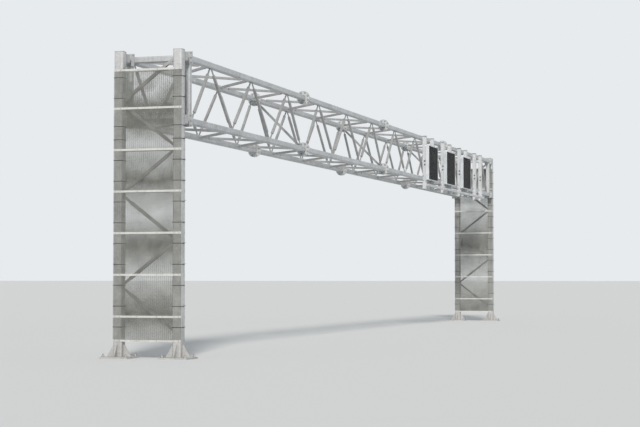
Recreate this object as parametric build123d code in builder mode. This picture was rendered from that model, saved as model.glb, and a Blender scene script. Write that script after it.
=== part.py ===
# Overhead sign gantry: a square box truss bolted between two braced towers.
# Millimetres. X runs along the span, Y along the road below, Z is up.
# The origin lies on the ground, below the middle of the span.
# Left is the -X end, front is the -Y side that carries the signs.

from build123d import *

import os
from itertools import pairwise
from math import atan2, degrees, hypot, sin

os.makedirs("parts", exist_ok=True)

# Truss layout, measured between chord centres
segments = 4
panels_per_segment = 3
panel_length = 3048.0
truss_width = 1524.0
truss_depth = 1524.0

# Truss members
chord_size = 152.0
chord_wall = 10.0
chord_corner = 19.0
bar_size = 64.0
bar_inset = 220.0
tongue_edge = 4.0
tongue_thickness = 16.0
tongue_gap = 14.0
end_setback = 210.0

# Bolted splices between the truss segments
flange_diameter = 406.0
flange_sides = 20
flange_thickness = 25.0
brace_lug_thickness = 16.0
brace_lug_seat = 45.0
brace_lug_edge = 20.0
brace_lug_reach = 150.0
brace_clearance = 10.0

# Corner plates at the truss ends, each with two fins that take a lug
corner_plate = 305.0
corner_plate_thickness = 25.0
fin_length = 150.0
fin_height = 250.0
fin_nose = 125.0
fin_thickness = 20.0
lug_thickness = 32.0
lug_height = 165.0
lug_rise = 45.0
lug_chamfer = 25.0
lug_tip_gap = 10.0
bolt_head = 46.0
bolt_head_height = 19.0
bolt_nut_height = 24.0
bolt_back_set = 100.0
bolt_drops = (0.0, 80.0)

# Towers
tower_height = 7400.0
seat_drop = 150.0
leg_size = 229.0
leg_wall = 13.0
leg_corner = 25.0
leg_cap = 12.0
stub_length = 175.0
stub_wall = 10.0
stub_plate = 25.0
tower_bar_size = 76.0
tower_bars = 6
tower_bar_low = 620.0

# Tower feet
base_plate = 724.0
base_thickness = 38.0
anchor_spacing = 584.0
anchor_hole = 42.0
foot_fin_reach = 190.0
foot_fin_height = 300.0
foot_fin_edge = 25.0
foot_fin_thickness = 16.0

# Wire screens on the towers' inner and outer faces
screen_low = 400.0
screen_high = 6950.0
screen_thickness = 4.0
screen_notch_gap = 12.0
screen_edge = 40.0
screen_slots = 8
screen_rib = 20.0
strip_pitch = 1000.0
strip_height = 50.0
strip_thickness = 5.0

# Sign supports on the front of the truss: each bay is centred on a node of the bottom chord
panels_before_signs = 8
sign_bays = 4
post_spacing = 1219.0
post_depth = 152.0
post_width = 102.0
post_web = 7.0
post_flange = 10.0
post_drop = 400.0
hook_thickness = 16.0
hook_lip = 70.0
rail_size = 89.0
rail_wall = 6.0
rail_corner = 9.0
rail_drop = 265.0
rail_overhang = 60.0

# Sign cabinets
signs = 3
cabinet_width = 1524.0
cabinet_height = 1310.0
cabinet_depth = 127.0
cabinet_drop = 70.0
cabinet_corner = 12.0
cabinet_bezel = 30.0
cabinet_recess = 22.0
face_thickness = 10.0
face_gap = 3.0

# Places that follow from the sizes above
segment_length = panels_per_segment * panel_length
truss_half = segments * segment_length / 2
truss_top = tower_height - seat_drop
truss_bottom = truss_top - truss_depth
truss_middle = (truss_top + truss_bottom) / 2
chord_front = -truss_width / 2 - chord_size / 2
corner_face = truss_half + chord_size / 2 + corner_plate_thickness
bolt_line = corner_face + bolt_back_set
lug_root = corner_face + fin_length + lug_tip_gap
leg_face = lug_root + stub_plate + stub_length
leg_centre = leg_face + leg_size / 2
post_front = chord_front - post_depth
corners = [
    (y, z)
    for y in (-truss_width / 2, truss_width / 2)
    for z in (truss_bottom, truss_top)
]


def save(piece, name):
    """Label a finished piece and write it to its file."""
    piece.part.label = name
    export_step(piece.part, f"parts/{name}.step")


def save_both_ends(piece, name):
    """Write a piece made at the right end, and its mirror image at the left end."""
    save(piece, f"right_{name}")
    with BuildPart() as twin:
        mirror(piece.part, about=Plane.YZ)
    save(twin, f"left_{name}")


def eased_square(size, corner, mode=Mode.ADD):
    """Sketch a square whose rounded corners are drawn as one flat each."""
    side = size / 2
    flat = side - corner
    Polygon(
        (side, flat),
        (flat, side),
        (-flat, side),
        (-side, flat),
        (-side, -flat),
        (-flat, -side),
        (flat, -side),
        (side, -flat),
        mode=mode,
    )


def square_tube(size, wall, corner):
    """Sketch the section of a square tube."""
    eased_square(size, corner)
    inner = size - 2 * wall
    eased_square(inner, corner - wall, mode=Mode.SUBTRACT)


def zigzag(plane, nodes, first_side, seat, bar):
    """Add bars that run from side to side of a frame, with a flat tongue in each end.

    nodes are the places along the frame where two bars meet. seat is the distance
    from the middle line to the faces that the tongues are welded to. The bars stop
    bar_inset short of those faces, and the tongues are cut to lie flat on them.
    """
    ends = [(u, first_side * (-1) ** i) for i, u in enumerate(nodes)]
    for (u0, side0), (u1, side1) in pairwise(ends):
        spread = (tongue_gap + bar / sin(atan2(2 * seat, u1 - u0))) / 2
        run = u1 - u0 - 2 * spread
        rise = (side1 - side0) * seat
        slope = atan2(rise, run)
        half_cut = (bar / 2 - tongue_edge) / abs(sin(slope))
        with BuildSketch(plane) as tongues:
            with BuildLine():
                Polyline(
                    (u0 + spread - half_cut, side0 * seat),
                    (u0 + spread + half_cut, side0 * seat),
                    (u1 - spread + half_cut, side1 * seat),
                    (u1 - spread - half_cut, side1 * seat),
                    close=True,
                )
            make_face()
        extrude(tongues.sketch, amount=tongue_thickness / 2, both=True)
        with BuildSketch(plane) as tube:
            with Locations(((u0 + u1) / 2, 0)):
                Rectangle(hypot(run, rise) - 2 * bar_inset, bar, rotation=degrees(slope))
        extrude(tube.sketch, amount=bar / 2, both=True)


def segment_nodes(start):
    """Places along one truss segment where its diagonals meet the chords."""
    halves = 2 * panels_per_segment
    middle = [start + i * panel_length / 2 for i in range(1, halves)]
    return [start + end_setback, *middle, start + segment_length - end_setback]


# Chords: four square tubes a segment, with round flanges where segments are spliced.
# The flanges are drawn with flat sides to keep the model light.
for number in range(1, segments + 1):
    start = (number - 1) * segment_length - truss_half
    end = start + segment_length
    left_inset = -chord_size / 2 if number == 1 else flange_thickness
    right_inset = -chord_size / 2 if number == segments else flange_thickness
    tube_length = segment_length - left_inset - right_inset
    with BuildPart() as chords:
        with BuildSketch(Plane.YZ.offset(start + left_inset)):
            with Locations(*corners):
                square_tube(chord_size, chord_wall, chord_corner)
        extrude(amount=tube_length)
        if number > 1:
            with BuildSketch(Plane.YZ.offset(start)):
                with Locations(*corners):
                    RegularPolygon(flange_diameter / 2, flange_sides)
            extrude(amount=flange_thickness)
        if number < segments:
            with BuildSketch(Plane.YZ.offset(end - flange_thickness)):
                with Locations(*corners):
                    RegularPolygon(flange_diameter / 2, flange_sides)
            extrude(amount=flange_thickness)
    save(chords, f"segment_{number}_chords")

# Truss sides: one zigzag of diagonals in each flat side of each segment
side_planes = {
    "front_side": (Plane((0, -truss_width / 2, truss_middle), (1, 0, 0), (0, -1, 0)), -1, truss_depth),
    "back_side": (Plane((0, truss_width / 2, truss_middle), (1, 0, 0), (0, -1, 0)), 1, truss_depth),
    "top_side": (Plane((0, 0, truss_top), (1, 0, 0), (0, 0, 1)), 1, truss_width),
    "bottom_side": (Plane((0, 0, truss_bottom), (1, 0, 0), (0, 0, 1)), -1, truss_width),
}
for number in range(1, segments + 1):
    nodes = segment_nodes((number - 1) * segment_length - truss_half)
    for name, (plane, first_side, span) in side_planes.items():
        with BuildPart() as side:
            zigzag(plane, nodes, first_side, (span - chord_size) / 2, bar_size)
        save(side, f"segment_{number}_{name}")

# Splice braces: a bar across the section beside each splice, with a lug on each end
inner_y = (truss_width - chord_size) / 2
inner_z = (truss_depth - chord_size) / 2
brace_run = hypot(inner_y, inner_z)
along = Vector(inner_y / brace_run, inner_z / brace_run)
across = Vector(-along.Y, along.X)
with BuildPart() as splice_braces:
    for splice in range(1, segments):
        brace_x = splice * segment_length - truss_half - flange_thickness - brace_clearance - bar_size / 2
        brace_plane = Plane((brace_x, 0, truss_middle), (0, 1, 0), (1, 0, 0))
        with BuildSketch(brace_plane):
            length = 2 * brace_run - brace_lug_reach
            Rectangle(length, bar_size, rotation=degrees(atan2(inner_z, inner_y)))
        extrude(amount=bar_size / 2, both=True)
        with BuildSketch(brace_plane):
            for end in (-1, 1):
                corner = Vector(end * inner_y, end * inner_z)
                tip = corner - along * (end * brace_lug_reach)
                with BuildLine():
                    Polyline(
                        corner,
                        corner + Vector(end * brace_lug_seat, 0),
                        corner + Vector(end * brace_lug_seat, -end * brace_lug_edge),
                        tip - across * (end * bar_size / 2),
                        tip + across * (end * bar_size / 2),
                        corner + Vector(-end * brace_lug_edge, end * brace_lug_seat),
                        corner + Vector(0, end * brace_lug_seat),
                        close=True,
                    )
                make_face()
        extrude(amount=brace_lug_thickness / 2, both=True)
save(splice_braces, "splice_braces")

# End frame: posts and cross tubes between the chords, across the end of the truss
with BuildPart() as end_frame:
    for y in (-truss_width / 2, truss_width / 2):
        with BuildSketch(Plane.XY.offset(truss_bottom + chord_size / 2)):
            with Locations((truss_half, y)):
                square_tube(chord_size, chord_wall, chord_corner)
        extrude(amount=truss_depth - chord_size)
    for z in (truss_bottom, truss_top):
        with BuildSketch(Plane.XZ.offset(-(truss_width - chord_size) / 2)):
            with Locations((truss_half, z)):
                square_tube(chord_size, chord_wall, chord_corner)
        extrude(amount=truss_width - chord_size)
save_both_ends(end_frame, "end_frame")

# Corner plates: each has two upright fins with a sloped top edge
fin_offset = (lug_thickness + fin_thickness) / 2
with BuildPart() as corner_plates:
    with BuildSketch(Plane.YZ.offset(corner_face - corner_plate_thickness)):
        with Locations(*corners):
            Rectangle(corner_plate, corner_plate)
    extrude(amount=corner_plate_thickness)
    for y, z in corners:
        for fin_y in (y - fin_offset, y + fin_offset):
            with BuildSketch(Plane.XZ.offset(-fin_y)):
                with BuildLine():
                    Polyline(
                        (corner_face, z + fin_height / 2),
                        (corner_face, z - fin_height / 2),
                        (corner_face + fin_length, z - fin_height / 2),
                        (corner_face + fin_length, z - fin_height / 2 + fin_nose),
                        close=True,
                    )
                make_face()
            extrude(amount=fin_thickness / 2, both=True)
save_both_ends(corner_plates, "corner_plates")

# Tower seats: stubs of tube on the legs, each with an end plate and an upright lug
with BuildPart() as seats:
    for y, z in corners:
        with BuildSketch(Plane.YZ.offset(lug_root + stub_plate)):
            with Locations((y, z)):
                square_tube(leg_size, stub_wall, leg_corner)
        extrude(amount=stub_length)
        with BuildSketch(Plane.YZ.offset(lug_root)):
            with Locations((y, z)):
                eased_square(leg_size, leg_corner)
        extrude(amount=stub_plate)
        with BuildSketch(Plane.XZ.offset(-y)):
            lug_length = fin_length
            lug_top = z + lug_rise
            with BuildLine():
                Polyline(
                    (lug_root, lug_top),
                    (lug_root - lug_length + lug_chamfer, lug_top),
                    (lug_root - lug_length, lug_top - lug_chamfer),
                    (lug_root - lug_length, lug_top - lug_height + lug_chamfer),
                    (lug_root - lug_length + lug_chamfer, lug_top - lug_height),
                    (lug_root, lug_top - lug_height),
                    close=True,
                )
            make_face()
        extrude(amount=lug_thickness / 2, both=True)
save_both_ends(seats, "tower_seats")

# Seat bolts: the hexagon heads and nuts that stand on the outer faces of the fins
grip = lug_thickness + 2 * fin_thickness
with BuildPart() as seat_bolts:
    for y, z in corners:
        for face_y, height in ((y - grip / 2, bolt_head_height), (y + grip / 2, -bolt_nut_height)):
            with BuildSketch(Plane.XZ.offset(-face_y)):
                with Locations(*[(bolt_line, z - drop) for drop in bolt_drops]):
                    RegularPolygon(bolt_head / 2, 6, major_radius=False)
            extrude(amount=height)
save_both_ends(seat_bolts, "seat_bolts")

# Tower legs: capped square tubes on base plates, stiffened by a fin on each face
for name, y in (("tower_front_leg", -truss_width / 2), ("tower_back_leg", truss_width / 2)):
    with BuildPart() as leg:
        with BuildSketch(Plane.XY):
            with Locations((leg_centre, y)):
                Rectangle(base_plate, base_plate)
                with GridLocations(anchor_spacing, anchor_spacing, 2, 2):
                    Circle(anchor_hole / 2, mode=Mode.SUBTRACT)
        extrude(amount=base_thickness)
        with BuildSketch(Plane.XY.offset(base_thickness)):
            with Locations((leg_centre, y)):
                square_tube(leg_size, leg_wall, leg_corner)
        extrude(amount=tower_height - base_thickness - leg_cap)
        with BuildSketch(Plane.XY.offset(tower_height - leg_cap)):
            with Locations((leg_centre, y)):
                eased_square(leg_size, leg_corner)
        extrude(amount=leg_cap)
        for out_x, out_y in ((1, 0), (0, 1), (-1, 0), (0, -1)):
            with BuildSketch(Plane((leg_centre, y, base_thickness), (out_x, out_y, 0), (out_y, -out_x, 0))):
                with BuildLine():
                    Polyline(
                        (leg_size / 2, 0),
                        (leg_size / 2 + foot_fin_reach, 0),
                        (leg_size / 2 + foot_fin_reach, foot_fin_edge),
                        (leg_size / 2 + foot_fin_edge, foot_fin_height),
                        (leg_size / 2, foot_fin_height),
                        close=True,
                    )
                make_face()
            extrude(amount=foot_fin_thickness / 2, both=True)
    save_both_ends(leg, name)

# Tower bracing: a zigzag between the two legs
bar_rise = (truss_top - tower_bar_low) / tower_bars
tower_nodes = [tower_bar_low + i * bar_rise for i in range(tower_bars + 1)]
with BuildPart() as bracing:
    bracing_plane = Plane((leg_centre, 0, 0), (0, 0, 1), (1, 0, 0))
    zigzag(bracing_plane, tower_nodes, 1, (truss_width - leg_size) / 2, tower_bar_size)
save_both_ends(bracing, "tower_bracing")

# Tower screens: a sheet on each face stands in for its wire mesh. It is closed over the legs,
# open between them in a row of tall slots, and notched round the lower seats.
screen_width = truss_width + leg_size
screen_planes = (leg_face - screen_thickness, leg_face + leg_size)
slot_pitch = (truss_width - leg_size - 2 * screen_edge) / screen_slots
slot_height = screen_high - screen_low - 2 * strip_height
with BuildPart() as screens:
    for face, x in enumerate(screen_planes):
        with BuildSketch(Plane.YZ.offset(x)):
            with Locations((0, (screen_low + screen_high) / 2)):
                Rectangle(screen_width, screen_high - screen_low)
                with GridLocations(slot_pitch, slot_height, screen_slots, 1):
                    Rectangle(slot_pitch - screen_rib, slot_height, mode=Mode.SUBTRACT)
            if face == 0:
                with Locations((-truss_width / 2, truss_bottom), (truss_width / 2, truss_bottom)):
                    notch = leg_size + 2 * screen_notch_gap
                    Rectangle(notch, notch, mode=Mode.SUBTRACT)
        extrude(amount=screen_thickness)
save_both_ends(screens, "tower_screens")

# Screen strips: flat bars across the screens at their edges and seams
strip_rows = [strip_pitch * i for i in range(1, int(screen_high // strip_pitch) + 1)]
strip_rows = [screen_low + strip_height / 2, *strip_rows, screen_high - strip_height / 2]
strip_planes = (leg_face - screen_thickness - strip_thickness, leg_face + leg_size + screen_thickness)
with BuildPart() as strips:
    for x in strip_planes:
        with BuildSketch(Plane.YZ.offset(x)):
            with Locations(*[(0, z) for z in strip_rows]):
                Rectangle(screen_width, strip_height)
        extrude(amount=strip_thickness)
save_both_ends(strips, "screen_strips")

# Sign posts: H sections on the front of the chords, each hung by a hook on the top chord
sign_centres = [(panels_before_signs + i) * panel_length - truss_half for i in range(sign_bays)]
post_places = [x + side * post_spacing / 2 for x in sign_centres for side in (-1, 1)]
post_low = truss_bottom - post_drop
chord_crown = truss_top + chord_size / 2
hook_back = chord_front + chord_size
with BuildPart() as sign_posts:
    with BuildSketch(Plane.XY.offset(post_low)):
        with Locations(*[(x, (chord_front + post_front) / 2) for x in post_places]):
            Rectangle(post_web, post_depth)
        for y in (chord_front - post_flange / 2, post_front + post_flange / 2):
            with Locations(*[(x, y) for x in post_places]):
                Rectangle(post_width, post_flange)
    extrude(amount=chord_crown - post_low)
    for x in post_places:
        with BuildSketch(Plane.YZ.offset(x - post_width / 2)):
            with BuildLine():
                Polyline(
                    (post_front, chord_crown),
                    (hook_back, chord_crown),
                    (hook_back, chord_crown - hook_lip),
                    (hook_back + hook_thickness, chord_crown - hook_lip),
                    (hook_back + hook_thickness, chord_crown + hook_thickness),
                    (post_front, chord_crown + hook_thickness),
                    close=True,
                )
            make_face()
        extrude(amount=post_width)
save(sign_posts, "sign_posts")

# Sign rail: a square tube along the front of the posts, below the signs
rail_start = post_places[0] - post_width / 2 - rail_overhang
rail_end = post_places[-1] + post_width / 2 + rail_overhang
with BuildPart() as sign_rail:
    with BuildSketch(Plane.YZ.offset(rail_start)):
        with Locations((post_front - rail_size / 2, truss_bottom - rail_drop)):
            square_tube(rail_size, rail_wall, rail_corner)
    extrude(amount=rail_end - rail_start)
save(sign_rail, "sign_rail")

# Sign cabinets: shallow boxes on the front of the posts, each with a recessed face panel
cabinet_middle = truss_bottom - cabinet_drop + cabinet_height / 2
for number in range(1, signs + 1):
    with BuildPart() as cabinet:
        with BuildSketch(Plane.XZ.offset(-post_front)):
            with Locations((sign_centres[number - 1], cabinet_middle)):
                Rectangle(cabinet_width, cabinet_height)
        extrude(amount=cabinet_depth)
        chamfer(cabinet.edges().filter_by(Axis.Y), cabinet_corner)
        with BuildSketch(Plane.XZ.offset(cabinet_depth - post_front)):
            with Locations((sign_centres[number - 1], cabinet_middle)):
                Rectangle(cabinet_width - 2 * cabinet_bezel, cabinet_height - 2 * cabinet_bezel)
        extrude(amount=-cabinet_recess, mode=Mode.SUBTRACT)
    save(cabinet, f"sign_{number}_cabinet")

with BuildPart() as sign_faces:
    with BuildSketch(Plane.XZ.offset(cabinet_depth - cabinet_recess - post_front)):
        with Locations(*[(x, cabinet_middle) for x in sign_centres[:signs]]):
            Rectangle(
                cabinet_width - 2 * cabinet_bezel - 2 * face_gap,
                cabinet_height - 2 * cabinet_bezel - 2 * face_gap,
            )
    extrude(amount=face_thickness)
save(sign_faces, "sign_faces")
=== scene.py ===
"""Looks of the overhead sign gantry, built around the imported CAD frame. Metres, +Z up."""

from math import atan2, cos, pi, radians, sin

import bmesh
import bpy
from mathutils import Matrix, Vector


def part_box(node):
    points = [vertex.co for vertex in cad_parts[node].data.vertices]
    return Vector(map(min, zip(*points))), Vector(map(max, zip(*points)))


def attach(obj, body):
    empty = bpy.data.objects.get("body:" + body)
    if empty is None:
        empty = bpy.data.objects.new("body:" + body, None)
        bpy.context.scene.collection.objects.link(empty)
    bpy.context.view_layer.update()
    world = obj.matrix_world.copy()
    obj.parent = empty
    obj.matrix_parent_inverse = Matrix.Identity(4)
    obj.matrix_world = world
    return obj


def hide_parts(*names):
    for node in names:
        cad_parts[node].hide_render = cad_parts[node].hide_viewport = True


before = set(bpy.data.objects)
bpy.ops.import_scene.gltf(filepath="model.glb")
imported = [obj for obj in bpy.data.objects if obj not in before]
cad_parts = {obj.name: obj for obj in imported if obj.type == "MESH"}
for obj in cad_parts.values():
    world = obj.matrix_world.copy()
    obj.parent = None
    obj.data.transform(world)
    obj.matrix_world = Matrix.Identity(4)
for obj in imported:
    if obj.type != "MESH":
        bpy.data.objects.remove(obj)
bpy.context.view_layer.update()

X = Vector((1, 0, 0))
Y = Vector((0, 1, 0))
Z = Vector((0, 0, 1))

# Camera: the photograph's angle on the truss, and its height
PHOTO_WIDTH = 640
PHOTO_HEIGHT = 427
FOCAL_PIXELS = 1650
HORIZON_ROW = 279
SENSOR_WIDTH = 36.0
VIEW_POINT = (-55.4, -15.6, 1.9)
VIEW_AZIMUTH = radians(-72.8)

# Truss, read from the end frame and the splices
FRAME_LOW, FRAME_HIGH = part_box("left_end_frame")
CHORD = FRAME_HIGH.x - FRAME_LOW.x
CHORD_CORNER = 0.019
TRUSS_HALF = -(FRAME_LOW.x + CHORD / 2)
HALF_WIDTH = FRAME_HIGH.y - CHORD / 2
TRUSS_TOP = FRAME_HIGH.z - CHORD / 2
TRUSS_BOTTOM = FRAME_LOW.z + CHORD / 2
TRUSS_MIDDLE = (TRUSS_TOP + TRUSS_BOTTOM) / 2
HALF_DEPTH = (TRUSS_TOP - TRUSS_BOTTOM) / 2
SEGMENTS = 4
SEGMENT_LENGTH = 2 * TRUSS_HALF / SEGMENTS
BARS_PER_SEGMENT = 6
END_SETBACK = 0.210
SPLICES = [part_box(f"segment_{n}_chords")[1].x for n in range(1, SEGMENTS)]
CORNERS = [(y, z) for y in (-HALF_WIDTH, HALF_WIDTH) for z in (TRUSS_BOTTOM, TRUSS_TOP)]

# Truss bars and the flat tongues in their ends
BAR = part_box("segment_1_front_side")[1].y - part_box("segment_1_front_side")[0].y
BAR_INSET = 0.220
TONGUE_EDGE = 0.004
TONGUE_THICK = 0.016
TONGUE_GAP = 0.014
LUG_THICK = 0.016

# Splice flanges
FLANGE_THICK = 0.025
FLANGE_BOLT_RADIUS = 0.160
FLANGE_BOLTS = 8

# Towers, read from the right one; the left is its mirror image
LEG_LOW, LEG_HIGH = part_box("right_tower_front_leg")
LEG_X = (LEG_LOW.x + LEG_HIGH.x) / 2
LEG_YS = (-HALF_WIDTH, HALF_WIDTH)
TOWER_TOP = LEG_HIGH.z
SCREEN_LOW, SCREEN_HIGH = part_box("right_tower_screens")
SCREEN_THICK = 0.004
LEG = SCREEN_HIGH.x - SCREEN_LOW.x - 2 * SCREEN_THICK
LEG_CORNER = 0.025
LEG_CAP = 0.012
NOTCH_HALF = LEG / 2 + 0.012
TOWER_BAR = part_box("right_tower_bracing")[1].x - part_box("right_tower_bracing")[0].x
TOWER_BARS = 6
TOWER_BAR_LOW = 0.620

# Tower feet
BASE_THICK = 0.038
ANCHOR_HALF = 0.292
FOOT_FIN_REACH = 0.190
FOOT_FIN_HEIGHT = 0.300
FOOT_FIN_THICK = 0.016

# Seats: plates and fins on the truss, lugs and stubs on the towers
PLATE_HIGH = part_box("right_corner_plates")[1]
SEAT_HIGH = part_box("right_tower_seats")[1]
PLATE_THICK = 0.025
FIN_LENGTH = 0.150
FIN_HALF_HEIGHT = 0.125
GRIP_HALF = 0.036
LUG_HALF = 0.016
LUG_RISE = 0.045
LUG_FALL = 0.120
STUB_PLATE = 0.025
STUB_LENGTH = 0.175

# Sign equipment
CABINETS = [f"sign_{n}_cabinet" for n in (1, 2, 3)]
POSTS_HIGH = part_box("sign_posts")[1]
RAIL_LOW, RAIL_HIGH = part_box("sign_rail")
POST_WIDTH = 0.102
POST_WEB = 0.007
POST_FLANGE = 0.010
POST_SPACING = 1.219
SIGN_BAYS = 4
FIRST_SIGN_X = (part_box(CABINETS[0])[0].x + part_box(CABINETS[0])[1].x) / 2
SIGN_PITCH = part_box(CABINETS[1])[0].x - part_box(CABINETS[0])[0].x
SIGN_XS = [FIRST_SIGN_X + bay * SIGN_PITCH for bay in range(SIGN_BAYS)]
POST_XS = [x + side * POST_SPACING / 2 for x in SIGN_XS for side in (-1, 1)]
CHORD_FRONT = -HALF_WIDTH - CHORD / 2
POST_FRONT = RAIL_HIGH.y
LAMP_PITCH = 0.020

ENDS = (("left", -1), ("right", 1))


# Camera, stage and lights


def link(thing):
    """Put an object into the scene."""
    bpy.context.scene.collection.objects.link(thing)


def make_camera():
    """Look from the photograph's viewpoint, tilted to its horizon."""
    data = bpy.data.cameras.new("camera")
    data.sensor_width = SENSOR_WIDTH
    data.lens = FOCAL_PIXELS / PHOTO_WIDTH * SENSOR_WIDTH
    data.clip_start = 1.0
    data.clip_end = 3000.0
    camera = bpy.data.objects.new("camera", data)
    camera.location = VIEW_POINT
    tilt = atan2(HORIZON_ROW - PHOTO_HEIGHT / 2, FOCAL_PIXELS)
    camera.rotation_euler = (pi / 2 + tilt, 0, VIEW_AZIMUTH)
    link(camera)
    bpy.context.scene.camera = camera


def add_sun(name, energy, angle, colour, source):
    """A sun lamp that shines from that direction."""
    sun = bpy.data.lights.new(name, "SUN")
    sun.energy = energy
    sun.angle = radians(angle)
    sun.color = colour
    lamp = bpy.data.objects.new(name, sun)
    lamp.rotation_euler = Vector(source).to_track_quat("Z", "Y").to_euler()
    link(lamp)


def make_lights():
    """A broad key from the near end of the truss, and a weak fill on the sign side."""
    add_sun("key_sun", energy=3.2, angle=9, colour=(1.0, 0.965, 0.92), source=(-0.84, -0.24, 0.52))
    add_sun("fill_sun", energy=0.3, angle=30, colour=(0.88, 0.95, 1.0), source=(0.30, -0.85, 0.35))


def put(tree, kind, settings=None, **values):
    """Add a node; values set or wire its inputs by name or, as n0 and so on, by place."""
    node = tree.nodes.new(kind)
    for key, value in (settings or {}).items():
        setattr(node, key, value)
    for key, value in values.items():
        by_place = key[0] == "n" and key[1:].isdigit()
        socket = node.inputs[int(key[1:]) if by_place else key.replace("_", " ")]
        if isinstance(value, bpy.types.NodeSocket):
            tree.links.new(value, socket)
        else:
            socket.default_value = value
    return node


def maths(tree, operation, *terms, clamp=False):
    """One math node's result."""
    settings = {"operation": operation, "use_clamp": clamp}
    inputs = {f"n{place}": term for place, term in enumerate(terms)}
    return put(tree, "ShaderNodeMath", settings, **inputs).outputs[0]


def feed(tree, node, **values):
    """Wire values into a node's inputs by name."""
    for key, value in values.items():
        tree.links.new(value, node.inputs[key.replace("_", " ")])


def split(tree, vector):
    """The three parts of a vector."""
    return put(tree, "ShaderNodeSeparateXYZ", Vector=vector).outputs


def make_world():
    """Soft light for the surfaces; the camera and reflections see a pale backdrop."""
    world = bpy.data.worlds.new("studio")
    bpy.context.scene.world = world
    world.use_nodes = True
    tree = world.node_tree
    tree.nodes.clear()
    path = put(tree, "ShaderNodeLightPath").outputs
    seen = maths(tree, "MAXIMUM", path["Is Camera Ray"], path["Is Transmission Ray"])
    seen = maths(tree, "MAXIMUM", seen, path["Is Glossy Ray"])
    light = put(tree, "ShaderNodeBackground", Color=(0.90, 0.95, 1.0, 1), Strength=0.38)
    backdrop = put(tree, "ShaderNodeBackground", Color=(0.80, 0.83, 0.85, 1), Strength=1.0)
    mix = put(tree, "ShaderNodeMixShader", n0=seen, n1=light.outputs[0], n2=backdrop.outputs[0])
    put(tree, "ShaderNodeOutputWorld", Surface=mix.outputs[0])


def make_floor():
    """A plain pale floor that runs to the horizon."""
    bm = bmesh.new()
    bmesh.ops.create_grid(bm, x_segments=1, y_segments=1, size=1500.0)
    mesh = bpy.data.meshes.new("floor")
    bm.to_mesh(mesh)
    bm.free()
    floor = bpy.data.objects.new("floor", mesh)
    link(floor)
    finish = bpy.data.materials.new("pale_floor")
    finish.use_nodes = True
    shader = finish.node_tree.nodes["Principled BSDF"]
    shader.inputs["Base Color"].default_value = (0.68, 0.69, 0.69, 1)
    shader.inputs["Roughness"].default_value = 0.9
    mesh.materials.append(finish)


# Shader groups


def blend(tree, factor, a, b):
    """Mix two colours."""
    settings = {"data_type": "RGBA"}
    return put(tree, "ShaderNodeMix", settings, n0=factor, n6=a, n7=b).outputs[2]


def span(tree, value, low, high, to_low=0.0, to_high=1.0):
    """Map a value from one range to another, clamped."""
    ends = {"From_Min": low, "From_Max": high, "To_Min": to_low, "To_Max": to_high}
    return put(tree, "ShaderNodeMapRange", {"clamp": True}, Value=value, **ends).outputs["Result"]


def noise(tree, place, scale, detail, roughness=0.5):
    """A noise texture's value."""
    inputs = {"Scale": scale, "Detail": detail, "Roughness": roughness}
    return put(tree, "ShaderNodeTexNoise", Vector=place, **inputs).outputs["Fac"]


def new_group(name, numbers, results):
    """A node group that takes a Vector and some numbers; returns it, its inputs and its end."""
    group = bpy.data.node_groups.new(name, "ShaderNodeTree")
    group.interface.new_socket("Vector", in_out="INPUT", socket_type="NodeSocketVector")
    for label, value in numbers.items():
        socket = group.interface.new_socket(label, in_out="INPUT", socket_type="NodeSocketFloat")
        socket.default_value = value
    for label in results:
        group.interface.new_socket(label, in_out="OUTPUT", socket_type="NodeSocketFloat")
    given = group.nodes.new("NodeGroupInput").outputs
    return group, given, group.nodes.new("NodeGroupOutput")


def make_zinc_group():
    """Hot-dip zinc: crystals, cloudy patches and fine grain, as tone, roughness and height."""
    numbers = {"Crystals": 26.0, "Clouds": 1.6, "Crystal Share": 0.4}
    group, given, result = new_group("hot_dip_zinc", numbers, ["Tone", "Roughness", "Height"])
    place = given["Vector"]
    warp = put(group, "ShaderNodeTexNoise", Vector=place, Scale=9.0, Detail=2.0).outputs["Color"]
    push = put(group, "ShaderNodeVectorMath", {"operation": "SCALE"}, n0=warp, Scale=0.05)
    moved = put(group, "ShaderNodeVectorMath", {"operation": "ADD"}, n0=place, n1=push.outputs[0])
    crystal = put(group, "ShaderNodeTexVoronoi", Vector=moved.outputs[0], Scale=given["Crystals"])
    facet = put(group, "ShaderNodeSeparateColor", Color=crystal.outputs["Color"]).outputs[0]
    cloudy = span(group, noise(group, place, given["Clouds"], 5.0, 0.6), 0.30, 0.70)
    grain = noise(group, place, 160.0, 2.0)
    shares = {"n0": given["Crystal Share"], "n2": cloudy, "n3": facet}
    mixed = put(group, "ShaderNodeMix", {"data_type": "FLOAT"}, **shares).outputs[0]
    speckled = maths(group, "MULTIPLY_ADD", grain, 0.16, mixed)
    tone = maths(group, "SUBTRACT", speckled, 0.08, clamp=True)
    height = maths(group, "MULTIPLY_ADD", crystal.outputs["Distance"], 0.5, grain)
    roughness = span(group, tone, 0.0, 1.0, 0.56, 0.34)
    feed(group, result, Tone=tone, Roughness=roughness, Height=height)
    return group


def make_runs_group():
    """Dull vertical runs that rain leaves, as a mask."""
    group, given, result = new_group("rain_runs", {"Width": 14.0, "Reach": 0.9}, ["Mask"])
    parts = split(group, given["Vector"])
    across_x = maths(group, "MULTIPLY", parts["X"], given["Width"])
    across_y = maths(group, "MULTIPLY", parts["Y"], given["Width"])
    down = maths(group, "MULTIPLY", parts["Z"], given["Reach"])
    stretched = put(group, "ShaderNodeCombineXYZ", X=across_x, Y=across_y, Z=down).outputs[0]
    lines = span(group, noise(group, stretched, 1.0, 4.0, 0.65), 0.50, 0.72)
    places = span(group, noise(group, given["Vector"], 0.7, 1.0), 0.40, 0.62, 0.25, 1.0)
    feed(group, result, Mask=maths(group, "MULTIPLY", lines, places))
    return group


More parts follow.
